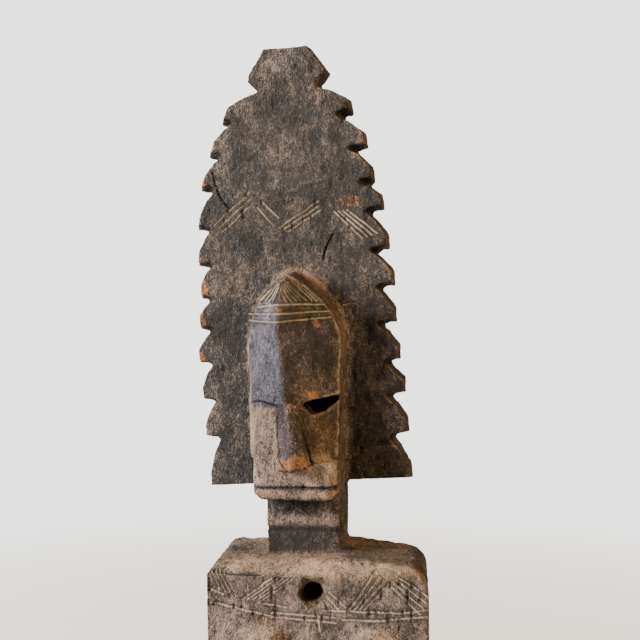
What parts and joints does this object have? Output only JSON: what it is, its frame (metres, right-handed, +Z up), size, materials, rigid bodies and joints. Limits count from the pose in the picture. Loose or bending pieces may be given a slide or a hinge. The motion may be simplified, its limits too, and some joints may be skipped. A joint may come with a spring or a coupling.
{
  "type": "carved door lock figure",
  "caption": "Carved wooden door lock in the form of a standing figure with a toothed crest, a sliding crossbar, iron tumblers and a key.",
  "frame": {"origin": "centre of the upper nail hole, on the back face that lies against the door", "axes": "+Z up along the figure, -Y out of the figure's front, +X to the viewer's right along the crossbar"},
  "size_m": [0.366, 0.068, 0.5476],
  "materials": {
    "dark_wood": "hand-carved, dark worn patina with dust",
    "crossbar_wood": "hand-carved, dark, rubbed lighter where it slides",
    "cover_wood": "split board, weathered",
    "iron": "forged, dark with a little rust"
  },
  "bodies": {
    "case": {"carved_case": "dark_wood", "well_cover": "cover_wood", "cover_tacks": "iron"},
    "crossbar": {"crossbar": "crossbar_wood"},
    "tumbler_1": {"tumbler_1": "iron"},
    "tumbler_2": {"tumbler_2": "iron"},
    "tumbler_3": {"tumbler_3": "iron"},
    "tumbler_4": {"tumbler_4": "iron"},
    "key": {"key_bar": "iron", "key_prongs": "iron"}
  },
  "joints": [
    {"name": "crossbar_slide", "type": "slide", "parent": "case", "child": "crossbar", "axis": [1, 0, 0], "range_m": [-0.04, 0.04]},
    {"name": "tumbler_1_lift", "type": "slide", "parent": "case", "child": "tumbler_1", "axis": [0, 0, 1], "range_m": [0, 0.015]},
    {"name": "tumbler_2_lift", "type": "slide", "parent": "case", "child": "tumbler_2", "axis": [0, 0, 1], "range_m": [0, 0.015]},
    {"name": "tumbler_3_lift", "type": "slide", "parent": "case", "child": "tumbler_3", "axis": [0, 0, 1], "range_m": [0, 0.015]},
    {"name": "tumbler_4_lift", "type": "slide", "parent": "case", "child": "tumbler_4", "axis": [0, 0, 1], "range_m": [0, 0.015]},
    {"name": "key_slide", "type": "slide", "parent": "crossbar", "child": "key", "axis": [1, 0, 0], "range_m": [0, 0.15]}
  ]
}
